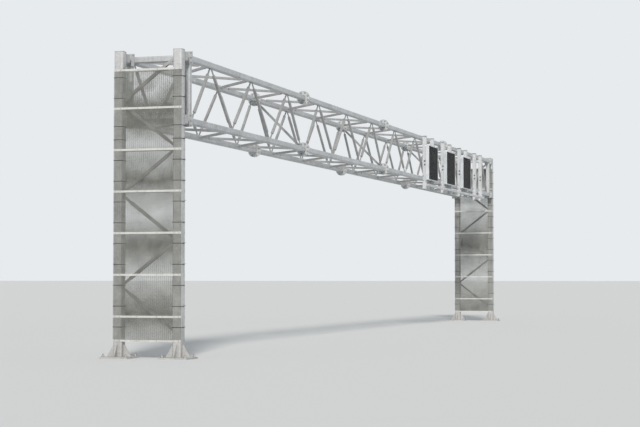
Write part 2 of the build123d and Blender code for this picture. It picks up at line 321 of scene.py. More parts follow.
def make_scuffs_group():
    """Short handling scratches, as a mask."""
    group, given, result = new_group("handling_scuffs", {"Amount": 0.5}, ["Mask"])
    turn = {"Rotation": (0.5, 0.35, 0.8), "Scale": (5.0, 60.0, 22.0)}
    turned = put(group, "ShaderNodeMapping", Vector=given["Vector"], **turn).outputs[0]
    lines = span(group, noise(group, turned, 1.0, 2.0, 0.4), 0.66, 0.72)
    where = span(group, noise(group, given["Vector"], 2.3, 2.0), 0.52, 0.66)
    both = maths(group, "MULTIPLY", lines, where)
    feed(group, result, Mask=maths(group, "MULTIPLY", both, given["Amount"]))
    return group


def make_dust_group():
    """Dust, lying on upward faces and splashed up from below, as a mask."""
    numbers = {"Splash Height": 1.4, "Amount": 0.6}
    group, given, result = new_group("road_dust", numbers, ["Mask"])
    up = split(group, put(group, "ShaderNodeNewGeometry").outputs["Normal"])["Z"]
    lying = span(group, up, 0.55, 0.95, 0.0, 0.6)
    level = split(group, given["Vector"])["Z"]
    ragged = noise(group, given["Vector"], 7.0, 5.0, 0.7)
    height = maths(group, "MULTIPLY_ADD", ragged, given["Splash Height"], level)
    splash = span(group, height, 0.1, given["Splash Height"], 1.0, 0.0)
    speck = span(group, ragged, 0.35, 0.60, 0.45, 1.0)
    spread = maths(group, "MULTIPLY", maths(group, "MAXIMUM", lying, splash), speck)
    feed(group, result, Mask=maths(group, "MULTIPLY", spread, given["Amount"]))
    return group


ZINC = make_zinc_group()
RUNS = make_runs_group()
SCUFFS = make_scuffs_group()
DUST = make_dust_group()


# Materials

DUST_COLOUR = (0.30, 0.27, 0.23, 1)
RUN_COLOUR = (0.21, 0.215, 0.21, 1)
SCUFF_COLOUR = (0.80, 0.81, 0.82, 1)
COOL = (1.0, 1.03, 1.05)
NEUTRAL = (1.0, 1.01, 1.01)
WARM = (1.0, 1.0, 0.96)
DRAB = (1.0, 1.02, 0.92)


def new_material(name, **constants):
    """A material with a Principled shader; returns it, its tree, shader and Object coordinates."""
    finish = bpy.data.materials.new(name)
    finish.use_nodes = True
    tree = finish.node_tree
    shader = tree.nodes["Principled BSDF"]
    for label, value in constants.items():
        shader.inputs[label.replace("_", " ")].default_value = value
    return finish, tree, shader, tree.nodes.new("ShaderNodeTexCoord").outputs["Object"]


def use_group(tree, group, place, **numbers):
    """Place a shader group and return its outputs."""
    return put(tree, "ShaderNodeGroup", {"node_tree": group}, Vector=place, **numbers).outputs


def add_bump(tree, shader, height, strength, depth):
    """Feed a height into the shader's normal."""
    bump = put(tree, "ShaderNodeBump", Strength=strength, Distance=depth, Height=height)
    feed(tree, shader, Normal=bump.outputs["Normal"])


def tinted(level, tint):
    """A grey of that level, leaning to the tint."""
    return (*(level * part for part in tint), 1)


def galvanised(
    name, dark, light, tint=COOL, metallic=0.40, crystals=26.0, clouds=1.6, share=0.4,
    runs=0.45, scuffs=0.5, dust=0.5, splash=1.4, bump=0.12,
):
    """Hot-dip galvanised steel with rain runs, scuffs and dust."""
    finish, tree, shader, place = new_material(name, Metallic=metallic)
    zinc = use_group(tree, ZINC, place, Crystals=crystals, Clouds=clouds, Crystal_Share=share)
    run = use_group(tree, RUNS, place)["Mask"]
    scuff = use_group(tree, SCUFFS, place, Amount=scuffs)["Mask"]
    dirt = use_group(tree, DUST, place, Splash_Height=splash, Amount=dust)["Mask"]
    colour = blend(tree, zinc["Tone"], tinted(dark, tint), tinted(light, tint))
    colour = blend(tree, maths(tree, "MULTIPLY", run, runs), colour, RUN_COLOUR)
    colour = blend(tree, scuff, colour, SCUFF_COLOUR)
    colour = blend(tree, dirt, colour, DUST_COLOUR)
    dull = maths(tree, "MULTIPLY_ADD", dirt, 0.35, zinc["Roughness"])
    feed(tree, shader, Base_Color=colour, Roughness=dull)
    add_bump(tree, shader, zinc["Height"], bump, 0.002)
    return finish


def make_weld_finish():
    """Zinc-coated weld bead with ripples."""
    finish, tree, shader, place = new_material("weld_bead", Metallic=0.4, Roughness=0.55)
    pattern = {"Scale": 36.0, "Distortion": 3.0, "Detail": 2.0}
    settings = {"bands_direction": "DIAGONAL"}
    ripple = put(tree, "ShaderNodeTexWave", settings, Vector=place, **pattern).outputs["Fac"]
    zinc = use_group(tree, ZINC, place, Crystals=60.0, Clouds=5.0, Crystal_Share=0.3)
    colour = blend(tree, zinc["Tone"], tinted(0.26, NEUTRAL), tinted(0.44, NEUTRAL))
    feed(tree, shader, Base_Color=colour)
    add_bump(tree, shader, ripple, 0.25, 0.0015)
    return finish


def make_tie_finish():
    """Dull dark banding with rubbed spots."""
    finish, tree, shader, place = new_material("tie_band", Metallic=0.6)
    rub = noise(tree, place, 45.0, 3.0)
    mask = span(tree, rub, 0.45, 0.70)
    colour = blend(tree, mask, (0.035, 0.034, 0.034, 1), (0.15, 0.145, 0.14, 1))
    feed(tree, shader, Base_Color=colour, Roughness=span(tree, rub, 0.3, 0.7, 0.62, 0.38))
    return finish


def make_sheet_aluminium():
    """Satin sheet aluminium: fine rolling lines, faint oxide clouds and rain runs."""
    finish, tree, shader, place = new_material("sheet_aluminium", Metallic=0.75)
    lines = put(tree, "ShaderNodeMapping", Vector=place, Scale=(4.0, 4.0, 900.0)).outputs[0]
    rolled = noise(tree, lines, 1.0, 3.0, 0.6)
    cloud = span(tree, noise(tree, place, 3.2, 4.0, 0.6), 0.3, 0.7)
    run = use_group(tree, RUNS, place, Width=20.0, Reach=1.1)["Mask"]
    colour = blend(tree, cloud, (0.60, 0.63, 0.65, 1), (0.76, 0.79, 0.81, 1))
    colour = blend(tree, maths(tree, "MULTIPLY", run, 0.35), colour, (0.40, 0.40, 0.39, 1))
    feed(tree, shader, Base_Color=colour, Roughness=span(tree, rolled, 0.2, 0.8, 0.30, 0.46))
    add_bump(tree, shader, rolled, 0.06, 0.001)
    return finish


def make_display_finish():
    """Near-black display tiles with rows of round dark lamps, under a thin film of dust."""
    finish, tree, shader, place = new_material("display_tile", Specular_IOR_Level=0.12)
    parts = split(tree, place)
    squares = []
    for axis in ("X", "Z"):
        cell = maths(tree, "FRACT", maths(tree, "DIVIDE", parts[axis], LAMP_PITCH))
        offset = maths(tree, "SUBTRACT", cell, 0.5)
        squares.append(maths(tree, "MULTIPLY", offset, offset))
    away = maths(tree, "SQRT", maths(tree, "ADD", *squares))
    lamp = span(tree, away, 0.20, 0.27, 1.0, 0.0)
    film = span(tree, noise(tree, place, 2.6, 4.0), 0.35, 0.75, 0.0, 0.4)
    colour = blend(tree, lamp, (0.010, 0.009, 0.011, 1), (0.036, 0.033, 0.034, 1))
    colour = blend(tree, film, colour, (0.045, 0.041, 0.040, 1))
    feed(tree, shader, Base_Color=colour, Roughness=span(tree, lamp, 0.0, 1.0, 0.60, 0.28))
    add_bump(tree, shader, lamp, 0.6, 0.003)
    return finish


def matt_black(name, grain, rough_low, rough_high):
    """Matt black rubber or powder coat, slightly faded in spots."""
    finish, tree, shader, place = new_material(name, Specular_IOR_Level=0.25)
    bloom = noise(tree, place, grain, 3.0)
    colour = blend(tree, bloom, (0.010, 0.010, 0.011, 1), (0.038, 0.036, 0.035, 1))
    rough = span(tree, bloom, 0.3, 0.7, rough_low, rough_high)
    feed(tree, shader, Base_Color=colour, Roughness=rough)
    return finish


CHORD_FINISH = galvanised(
    "galvanised_chords", 0.36, 0.58, crystals=24.0, clouds=1.1, runs=0.35, dust=0.55
)
BAR_FINISH = galvanised("galvanised_bars", 0.26, 0.44, NEUTRAL, crystals=34.0, clouds=1.9)
PLATE_FINISH = galvanised("galvanised_plates", 0.34, 0.56, crystals=30.0, clouds=4.0, bump=0.2)
TOWER_FINISH = galvanised(
    "galvanised_towers", 0.38, 0.60, NEUTRAL, crystals=20.0, clouds=0.9, runs=0.55,
    dust=0.75, splash=1.6,
)
POST_FINISH = galvanised(
    "galvanised_posts", 0.44, 0.68, crystals=28.0, clouds=2.4, runs=0.3, dust=0.4, scuffs=0.7,
)
BOLT_FINISH = galvanised("galvanised_bolts", 0.24, 0.44, NEUTRAL, 0.6, crystals=80.0, clouds=9.0)
# Near-black zinc for the bolts in the post webs: painted shade, the darkness of holes in the webs
# put on bolt heads.
SHADE_PAINTED_BOLT_FINISH = galvanised(
    "bolts_painted_hole_shade", 0.03, 0.10, NEUTRAL, 0.6, crystals=80.0, clouds=9.0, runs=0.2, dust=0.2,
)
WIRE_FINISH = galvanised(
    "galvanised_wire", 0.12, 0.30, DRAB, crystals=60.0, clouds=3.0, share=0.15, runs=0.7,
    dust=0.7, splash=1.2, scuffs=0.0,
)
STRIP_FINISH = galvanised(
    "galvanised_strips", 0.46, 0.68, WARM, crystals=40.0, clouds=3.0, runs=0.35, dust=0.4,
)
WELD_FINISH = make_weld_finish()
TIE_FINISH = make_tie_finish()
ALUMINIUM_FINISH = make_sheet_aluminium()
DISPLAY_FINISH = make_display_finish()
SEAL_FINISH = matt_black("rubber_seal", 40.0, 0.75, 0.55)
LOUVRE_FINISH = matt_black("louvre_coat", 90.0, 0.60, 0.48)


# Mesh helpers

BEAD_SIDES = 6
ROD_SIDES = 8
BOLT_SIDES = 10
WASHER_SIDES = 16
BEAD_RADIUS = 0.006
LARGEST_ROUND_FACE = 0.002

# Washers, heads and nuts, in shares of the shank's diameter
WASHER_SHARE = 0.14
FLATS_SHARE = 1.55
HEAD_SHARE = 0.64
NUT_SHARE = 0.8
TIP_SHARE = 0.40

# Eased corners of a hexagon, in shares of its height and width
HEXAGON_EASE_HEIGHT = 0.14
HEXAGON_EASE_WIDTH = 0.05


def turn_to(direction):
    """A rotation whose Z axis points along direction."""
    axis = direction.normalized()
    side = Z if abs(axis.z) < 0.9 else X
    across = side.cross(axis).normalized()
    return Matrix((across, axis.cross(across), axis)).transposed().to_4x4()


def add_box(bm, centre, size, turn=None):
    """A box of that size about its centre."""
    place = Matrix.Translation(centre) @ (turn or Matrix.Identity(4)) @ Matrix.Diagonal((*size, 1))
    bmesh.ops.create_cube(bm, size=1.0, matrix=place)


def add_rod(bm, start, end, radius, sides=ROD_SIDES, tip_radius=None):
    """A capped rod or cone between two points; returns its corners."""
    start, end = Vector(start), Vector(end)
    place = Matrix.Translation((start + end) / 2) @ turn_to(end - start)
    tip = radius if tip_radius is None else tip_radius
    sizes = {"radius1": radius, "radius2": tip, "depth": (end - start).length}
    return bmesh.ops.create_cone(bm, cap_ends=True, segments=sides, matrix=place, **sizes)["verts"]


def add_bead(bm, start, end, radius=BEAD_RADIUS):
    """A straight weld bead."""
    add_rod(bm, start, end, radius, BEAD_SIDES)


def add_ring_weld(bm, centre, across, up, half, corner, radius):
    """A bead round a square tube with cut corners."""
    flat = half - corner
    side = [(half, -flat), (half, flat)]
    ring = []
    for _ in range(4):
        ring += [centre + across * a + up * b for a, b in side]
        side = [(-b, a) for a, b in side]
    for start, end in zip(ring, ring[1:] + ring[:1]):
        add_bead(bm, start, end, radius)


def add_washer(bm, base, direction, radius, thickness):
    """A flat washer; returns the middle of its outer face."""
    top = Vector(base) + direction * thickness
    add_rod(bm, base, top, radius, WASHER_SIDES)
    return top


def add_hexagon(bm, base, direction, across, height):
    """A hexagon head or nut, its outer corners eased; returns the middle of its outer face."""
    ease_height = height * HEXAGON_EASE_HEIGHT
    shoulder = base + direction * (height - ease_height)
    corners = add_rod(bm, base, shoulder, across / 2 / cos(pi / 6), 6)
    faces = [face for corner in corners for face in corner.link_faces]
    outer = max(faces, key=lambda face: face.calc_center_median().dot(direction))
    outer.normal_update()
    inset = {"thickness": across * HEXAGON_EASE_WIDTH, "depth": ease_height}
    bmesh.ops.inset_region(bm, faces=[outer], **inset)
    return shoulder + direction * ease_height


def add_bolt_head(bm, base, direction, shank):
    """Washer and hexagon head of a bolt with that shank diameter."""
    seat = add_washer(bm, base, direction, shank, shank * WASHER_SHARE)
    add_hexagon(bm, seat, direction, shank * FLATS_SHARE, shank * HEAD_SHARE)


def add_nut_end(bm, base, direction, shank, stick_out=0.5):
    """Washer, nut and the end of the thread."""
    seat = add_washer(bm, base, direction, shank, shank * WASHER_SHARE)
    top = add_hexagon(bm, seat, direction, shank * FLATS_SHARE, shank * NUT_SHARE)
    tip = top + direction * shank * stick_out
    add_rod(bm, top, tip, shank / 2, BOLT_SIDES, tip_radius=shank * TIP_SHARE)


def add_bolt(bm, middle, direction, half_grip, shank, stick_out=0.5):
    """A bolt through a grip, its head behind and its nut in front."""
    reach = direction * half_grip
    add_bolt_head(bm, middle - reach, -direction, shank)
    add_nut_end(bm, middle + reach, direction, shank, stick_out)


def edges_along(bm, axis, shortest=0.1):
    """Edges that run along an axis and are longer than that."""
    ends = [(edge, edge.verts[1].co - edge.verts[0].co) for edge in bm.edges]
    return [edge for edge, reach in ends if abs(reach.dot(axis)) > shortest]


def edges_between(bm, low, high, shortest=0.0):
    """Convex edges whose faces meet at an angle in that range, in degrees."""
    found = []
    for edge in bm.edges:
        if len(edge.link_faces) == 2 and edge.is_convex and edge.calc_length() > shortest:
            if radians(low) < edge.calc_face_angle(0) < radians(high):
                found.append(edge)
    return found


def ease(bm, edges, offset, steps=1, clamp=False):
    """Round some edges."""
    bmesh.ops.bevel(
        bm, geom=edges, offset=offset, segments=steps, profile=0.5, affect="EDGES",
        material=-1, clamp_overlap=clamp,
    )


def shade_round_faces(bm, limit=radians(40)):
    """Smooth shading between small faces, with sharp edges where they meet steeply."""
    for face in bm.faces:
        face.smooth = True
    for edge in bm.edges:
        small = all(face.calc_area() < LARGEST_ROUND_FACE for face in edge.link_faces)
        edge.smooth = small and len(edge.link_faces) == 2 and edge.calc_face_angle(pi) < limit


def finish_piece(name, bm, finish, stands_for=(), rounded=True):
    """Turn a bmesh into a piece of the gantry, riding on its one body."""
    if rounded:
        shade_round_faces(bm)
    mesh = bpy.data.meshes.new(name)
    bm.to_mesh(mesh)
    bm.free()
    mesh.materials.append(finish)
    piece = bpy.data.objects.new(name, mesh)
    link(piece)
    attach(piece, "root")
    if stands_for:
        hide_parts(*stands_for)


def finish_bolts(name, bm, stands_for=()):
    """Turn a bmesh into a piece of galvanised bolts."""
    finish_piece(name, bm, BOLT_FINISH, stands_for)


# Dressing of the CAD nodes

MERGE = 1e-5
LONG_EDGE = 0.5


def walls(bm):
    """The faces of each closed wall, met across edges of two faces."""
    groups, seen = [], set()
    for first in bm.faces:
        if first not in seen:
            seen.add(first)
            group = [first]
            for face in group:
                for edge in face.edges:
                    fresh = [other for other in edge.link_faces if other not in seen]
                    if fresh and len(edge.link_faces) == 2:
                        seen.update(fresh)
                        group += fresh
            groups.append(group)
    return groups


def dress(node, finish, offset=0.002, steps=1, corner=0.0, shortest=0.0):
    """Show a CAD node as its own merged shape, its edges eased and its cut corners rounded."""
    bm = bmesh.new()
    bm.from_mesh(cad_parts[node].data)
    bmesh.ops.remove_doubles(bm, verts=bm.verts, dist=MERGE)
    if any(len(edge.link_faces) > 2 for edge in bm.edges):
        for wall in walls(bm)[1:]:
            bmesh.ops.split(bm, geom=wall)
    bmesh.ops.dissolve_limit(bm, angle_limit=radians(1), verts=bm.verts, edges=bm.edges)
    if corner:
        ease(bm, edges_between(bm, 35, 55, LONG_EDGE), corner, steps=2)
    ease(bm, edges_between(bm, 60, 180, shortest), offset, steps, clamp=True)
    bmesh.ops.dissolve_degenerate(bm, dist=MERGE, edges=bm.edges)
    finish_piece(f"{node}_shaped", bm, finish, [node])


def dress_chords(node):
    """Square tubes whose cut corners are rounded."""
    dress(node, CHORD_FINISH, corner=0.006)


def dress_plates(node, shortest=0.0):
    """Plates with fins or lugs."""
    dress(node, PLATE_FINISH, shortest=shortest)


def dress_bars(node):
    """Bars with tongues: only the tubes' long edges are round."""
    dress(node, BAR_FINISH, offset=0.005, steps=3, shortest=LONG_EDGE)


def dress_truss():
    """Chords, sides, braces, end frames and corner plates."""
    for number in range(1, SEGMENTS + 1):
        dress_chords(f"segment_{number}_chords")
        for side in ("front", "back", "top", "bottom"):
            dress_bars(f"segment_{number}_{side}_side")
    dress_bars("splice_braces")
    for end, _ in ENDS:
        dress_chords(f"{end}_end_frame")
        dress_plates(f"{end}_corner_plates")


def dress_towers():
    """Legs, bracing, seats and screen strips."""
    for end, _ in ENDS:
        dress_plates(f"{end}_tower_seats", shortest=0.03)
        for leg in ("front", "back"):
            dress(f"{end}_tower_{leg}_leg", TOWER_FINISH, corner=0.008)
        dress_bars(f"{end}_tower_bracing")
        dress(f"{end}_screen_strips", STRIP_FINISH, offset=0.0008)


def dress_sign_supports():
    """Posts and rail."""
    dress("sign_posts", POST_FINISH, offset=0.0015)
    dress("sign_rail", POST_FINISH, offset=0.001, corner=0.002)


# Truss details

SEAT_BEAD = 0.0065
MOUTH_BEAD = 0.005
TUBE_BEAD = 0.007
FRAME_WELD_SHARE = 0.8
BRACE_BOLT_PLACES = ((0.055, 0.0), (0.115, 0.016), (0.115, -0.016))
PLATE_SHANK = 0.022
PLATE_BOLT_OUT = 0.118
PLATE_BOLT_PLACES = ((1, 1), (1, 0), (0, 1), (1, -1), (-1, 1))


def flat_frame(origin, along, up):
    """A frame whose X runs along and whose Y runs up, for places in a flat side."""
    axes = Matrix((along, up, along.cross(up))).transposed().to_4x4()
    return Matrix.Translation(origin) @ axes


def truss_sides():
    """Each side's frame, the sign of its first seat, and its seats' distance from the middle."""
    upright = HALF_DEPTH - CHORD / 2
    level = HALF_WIDTH - CHORD / 2
    return [
        (flat_frame((0, -HALF_WIDTH, TRUSS_MIDDLE), X, Z), -1, upright),
        (flat_frame((0, HALF_WIDTH, TRUSS_MIDDLE), X, Z), 1, upright),
        (flat_frame((0, 0, TRUSS_TOP), X, Y), 1, level),
        (flat_frame((0, 0, TRUSS_BOTTOM), X, Y), -1, level),
    ]


def segment_nodes(start):
    """Places along one segment where its bars meet."""
    step = SEGMENT_LENGTH / BARS_PER_SEGMENT
    inner = [start + i * step for i in range(1, BARS_PER_SEGMENT)]
    return [start + END_SETBACK, *inner, start + SEGMENT_LENGTH - END_SETBACK]


def bar_lines(nodes, first_side, seat, bar):
    """Each bar's centre line from seat to seat, and half the length of its tongues' cut ends."""
    ends = [Vector((u, first_side * (-1) ** i * seat, 0)) for i, u in enumerate(nodes)]
    lines = []
    for start, end in zip(ends, ends[1:]):
        spread = (TONGUE_GAP + bar / sin(atan2(2 * seat, end.x - start.x))) / 2
        start = start + X * spread
        end = end - X * spread
        slope = atan2(2 * seat, end.x - start.x)
        lines.append((start, end, (bar / 2 - TONGUE_EDGE) / sin(slope)))
    return lines


def add_tongue_welds(bm, side_frame, line, bar):
    """Beads where a bar's tongues meet their seats, and where they leave the tube."""
    start, end, half_cut = line
    along = (end - start).normalized()
    across = Z.cross(along) * (bar / 2 - TONGUE_EDGE)
    cut = X * half_cut
    for seat, inward in ((start, along), (end, -along)):
        mouth = seat + inward * BAR_INSET
        for face in (Z * TONGUE_THICK / 2, -Z * TONGUE_THICK / 2):
            foot, lip = seat + face, mouth + face
            add_bead(bm, side_frame @ (foot - cut), side_frame @ (foot + cut), SEAT_BEAD)
            add_bead(bm, side_frame @ (lip - across), side_frame @ (lip + across), MOUTH_BEAD)


def make_truss_welds():
    """Every tongue's welds on the truss, one piece per segment."""
    for number in range(SEGMENTS):
        nodes = segment_nodes(number * SEGMENT_LENGTH - TRUSS_HALF)
        bm = bmesh.new()
        for side_frame, first_side, seat in truss_sides():
            for line in bar_lines(nodes, first_side, seat, BAR):
                add_tongue_welds(bm, side_frame, line, BAR)
        finish_piece(f"segment_{number + 1}_bar_welds", bm, WELD_FINISH)


def make_splices():
    """Bolts through the splice flanges, and the welds between tubes and flanges."""
    bolts, welds = bmesh.new(), bmesh.new()
    for x in SPLICES:
        for y, z in CORNERS:
            centre = Vector((x, y, z))
            for i in range(FLANGE_BOLTS):
                angle = 2 * pi * (i + 0.5) / FLANGE_BOLTS
                spot = centre + (Y * cos(angle) + Z * sin(angle)) * FLANGE_BOLT_RADIUS
                add_bolt(bolts, spot, X, FLANGE_THICK, shank=0.030)
            for face in (-FLANGE_THICK, FLANGE_THICK):
                add_ring_weld(welds, centre + X * face, Y, Z, CHORD / 2, CHORD_CORNER, TUBE_BEAD)
    finish_bolts("splice_bolts", bolts)
    finish_piece("splice_welds", welds, WELD_FINISH)


def make_brace_bolts():
    """Three bolts through the lug at each end of the splice braces."""
    bm = bmesh.new()
    reach = Vector((0, HALF_WIDTH - CHORD / 2, HALF_DEPTH - CHORD / 2))
    along = reach.normalized()
    across = X.cross(along)
    first_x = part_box("splice_braces")[0].x + BAR / 2
    for i in range(len(SPLICES)):
        middle = Vector((first_x + i * SEGMENT_LENGTH, 0, TRUSS_MIDDLE))
        for end in (-1, 1):
            for back, aside in BRACE_BOLT_PLACES:
                spot = middle + end * (reach - along * back) + across * aside
                add_bolt(bm, spot, X, LUG_THICK / 2, shank=0.018)
    finish_bolts("brace_bolts", bm)


def add_frame_welds(bm, corner, inward):
    """Beads where a post and a cross tube of the end frame meet their chord."""
    half = CHORD / 2
    reach = half * FRAME_WELD_SHARE
    level_sides = ((Y * inward.y, Z, [-inward.z]), (Z * inward.z, Y, [-1, 1]))
    for seat, along, sides in level_sides:
        middles = [(seat + X * side, along) for side in (-1, 1)]
        middles += [(seat + along * side, X) for side in sides]
        for offset, run in middles:
            spot = corner + offset * half
            add_bead(bm, spot - run * reach, spot + run * reach)


def make_end_details(end, sign):
    """Welds of the end frame, and bolts in the free margins of the corner plates."""
    bolts, welds = bmesh.new(), bmesh.new()
    plate_back = X * sign * CHORD / 2
    plate_front = plate_back + X * sign * PLATE_THICK
    for y, z in CORNERS:
        corner = Vector((sign * TRUSS_HALF, y, z))
        inward = Vector((0, -1 if y > 0 else 1, -1 if z > TRUSS_MIDDLE else 1))
        add_frame_welds(welds, corner, inward)
        add_ring_weld(welds, corner + plate_back, Y, Z, CHORD / 2, CHORD_CORNER, TUBE_BEAD)
        for out_y, out_z in PLATE_BOLT_PLACES:
            offset = Vector((0, -inward.y * out_y, -inward.z * out_z)) * PLATE_BOLT_OUT
            add_bolt_head(bolts, corner + offset + plate_front, X * sign, PLATE_SHANK)
            add_nut_end(bolts, corner + offset + plate_back, -X * sign, PLATE_SHANK)
    finish_bolts(f"{end}_plate_bolts", bolts)
    finish_piece(f"{end}_end_welds", welds, WELD_FINISH)


# Seats

BOLT_DROPS = (0.0, 0.080)
FIN_BEAD = 0.008


def make_seat_bolts(end):
    """Full bolts with washers and thread ends, in the places of the plain ones."""
    low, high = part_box(f"{end}_seat_bolts")
    bm = bmesh.new()
    for y, z in CORNERS:
        for drop in BOLT_DROPS:
            spot = Vector(((low.x + high.x) / 2, y, z - drop))
            add_bolt(bm, spot, Y, GRIP_HALF, shank=0.030, stick_out=0.35)
    finish_bolts(f"{end}_seat_bolt_sets", bm, [f"{end}_seat_bolts"])


def make_seat_welds(end, sign):
    """Beads along the fins and lugs, and round the stubs."""
    bm = bmesh.new()
    fin_root = sign * (PLATE_HIGH.x - FIN_LENGTH)
    lug_root = sign * (SEAT_HIGH.x - STUB_LENGTH - STUB_PLATE)
    stub_start, stub_end = sign * (SEAT_HIGH.x - STUB_LENGTH), sign * SEAT_HIGH.x
    for y, z in CORNERS:
        for side in (-1, 1):
            fin = Vector((fin_root, y + side * GRIP_HALF, z))
            lug = Vector((lug_root, y + side * LUG_HALF, z))
            add_bead(bm, fin - Z * FIN_HALF_HEIGHT, fin + Z * FIN_HALF_HEIGHT, FIN_BEAD)
            add_bead(bm, lug - Z * LUG_FALL, lug + Z * LUG_RISE, FIN_BEAD)
        for x in (stub_start, stub_end):
            add_ring_weld(bm, Vector((x, y, z)), Y, Z, LEG / 2, LEG_CORNER, TUBE_BEAD)
    finish_piece(f"{end}_seat_welds", bm, WELD_FINISH)


# Tower details

ANCHOR_SHANK = 0.038
FOOT_BEAD = 0.010
CAP_BEAD = 0.004


def make_anchors(end, sign):
    """Anchor nuts with long thread ends on every base plate."""
    bm = bmesh.new()
    for y in LEG_YS:
        for out_x in (-ANCHOR_HALF, ANCHOR_HALF):
            for out_y in (-ANCHOR_HALF, ANCHOR_HALF):
                spot = Vector((sign * LEG_X + out_x, y + out_y, BASE_THICK))
                add_nut_end(bm, spot, Z, ANCHOR_SHANK, stick_out=1.2)
    finish_bolts(f"{end}_anchor_bolts", bm)


def add_foot_welds(bm, foot):
    """Beads round the leg's foot, and along the four fins."""
    add_ring_weld(bm, foot, X, Y, LEG / 2, LEG_CORNER, FOOT_BEAD)
    for out in (X, Y, -X, -Y):
        for aside in (-FOOT_FIN_THICK / 2, FOOT_FIN_THICK / 2):
            root = foot + out * LEG / 2 + Z.cross(out) * aside
            add_bead(bm, root, root + out * FOOT_FIN_REACH, FIN_BEAD)
            add_bead(bm, root, root + Z * FOOT_FIN_HEIGHT, TUBE_BEAD)


def make_tower_welds(end, sign):
    """Welds of the feet, the caps and the tower's bars."""
    bm = bmesh.new()
    for y in LEG_YS:
        add_foot_welds(bm, Vector((sign * LEG_X, y, BASE_THICK)))
        cap = Vector((sign * LEG_X, y, TOWER_TOP - LEG_CAP))
        add_ring_weld(bm, cap, X, Y, LEG / 2, LEG_CORNER, CAP_BEAD)
    rise = (TRUSS_TOP - TOWER_BAR_LOW) / TOWER_BARS
    nodes = [TOWER_BAR_LOW + i * rise for i in range(TOWER_BARS + 1)]
    tower_frame = flat_frame((sign * LEG_X, 0, 0), Z, -Y)
    for line in bar_lines(nodes, 1, HALF_WIDTH - LEG / 2, TOWER_BAR):
        add_tongue_welds(bm, tower_frame, line, TOWER_BAR)
    finish_piece(f"{end}_tower_welds", bm, WELD_FINISH)


# Tower screens

ROW_PITCH = 0.0105
COLUMN_PITCH = 0.0508
ROW_HEIGHT = 0.0052
COLUMN_WIDTH = 0.0032
WIRE_DEPTH = SCREEN_THICK / 2
ROW_CUTS = 7
COLUMN_CUTS = 39
STRIP_PITCH = 1.0
STRIP_HALF = 0.025
SLACK = 0.018
SLACK_HALF_WIDTH = HALF_WIDTH - LEG / 2 - 0.02
SLACK_FADE = 0.3


def slack_at(y, z):
    """How far the wire bulges: nothing on the legs and under the strips that clamp it."""
    if abs(y) > SLACK_HALF_WIDTH:
        return 0.0
    across = 1 - (y / SLACK_HALF_WIDTH) ** 2
    bay = sin(pi * z / STRIP_PITCH) ** 2
    ends = min(1.0, (z - SCREEN_LOW.z) / SLACK_FADE, (SCREEN_HIGH.z - z) / SLACK_FADE)
    waves = 0.5 + 0.3 * sin(4.3 * y + 2.1 * z) + 0.2 * sin(6.1 * y - 5.9 * z + 1.3)
    return SLACK * across * bay * ends * waves


def even_places(low, high, pitch):
    """Places from low to high, evenly about a pitch apart."""
    steps = round((high - low) / pitch)
    return [low + (high - low) * i / steps for i in range(steps + 1)]


def add_wire_rows(bm, x, notched):
    """Level wires, shorter beside the lower seats where the screen is notched."""
    half = ROW_HEIGHT / 2
    for z in even_places(SCREEN_LOW.z + half, SCREEN_HIGH.z - half, ROW_PITCH):
        beside_seat = notched and abs(z - TRUSS_BOTTOM) < NOTCH_HALF
        reach = HALF_WIDTH - NOTCH_HALF if beside_seat else SCREEN_HIGH.y
        add_box(bm, (x, 0, z), (WIRE_DEPTH, 2 * reach, ROW_HEIGHT))


def add_wire_columns(bm, x, notched):
    """Upright wires, broken at the lower seats where the screen is notched."""
    half = COLUMN_WIDTH / 2
    low, high = SCREEN_LOW.z, SCREEN_HIGH.z
    below, above = TRUSS_BOTTOM - NOTCH_HALF, TRUSS_BOTTOM + NOTCH_HALF
    for y in even_places(half - SCREEN_HIGH.y, SCREEN_HIGH.y - half, COLUMN_PITCH):
        broken = notched and abs(y) > HALF_WIDTH - NOTCH_HALF
        for start, end in ((low, below), (above, high)) if broken else ((low, high),):
            add_box(bm, (x, y, (start + end) / 2), (WIRE_DEPTH, COLUMN_WIDTH, end - start))


def make_screen(end, face, rows_x, columns_x, bulge):
    """Welded wire on one face of a tower, slightly slack between its clamps."""
    bm = bmesh.new()
    notched = face == "inner"
    add_wire_rows(bm, rows_x, notched)
    add_wire_columns(bm, columns_x, notched)
    for axis, cuts in ((Y, ROW_CUTS), (Z, COLUMN_CUTS)):
        wires = edges_along(bm, axis)
        bmesh.ops.subdivide_edges(bm, edges=wires, cuts=cuts, use_grid_fill=True)
    for corner in bm.verts:
        corner.co.x += bulge * slack_at(corner.co.y, corner.co.z)
    stands_for = [f"{end}_tower_screens"] if face == "outer" else []
    name = f"{end}_{face}_screen_wire"
    finish_piece(name, bm, WIRE_FINISH, stands_for, rounded=False)


def make_screens(end, sign):
    """The wire on the inner and the outer face of a tower, its rows outside its columns."""
    for face, bulge in (("inner", -sign), ("outer", sign)):
        on_leg = sign * LEG_X + bulge * LEG / 2
        columns_x = on_leg + bulge * WIRE_DEPTH / 2
        make_screen(end, face, columns_x + bulge * WIRE_DEPTH, columns_x, bulge)


TIE_START = 0.35
TIE_PITCH = 0.5
TIE_WIDTH = 0.014
TIE_THICK = 0.003
TIE_LIFT = 0.002
TIE_BELOW_NOTCH = 0.03
KNOT_ASIDE = 0.2
KNOT_OUT = 0.008
KNOT_SIZE = (0.034, 0.016, TIE_WIDTH + 0.008)
TAIL_ASIDE = 0.03
TAIL_OUT = 0.050
TAIL_UP = 0.02
TAIL_LEAN = 0.012
STRIP_BOLT_ASIDE = 0.06
ROUND_HEAD_HEIGHT = 0.006


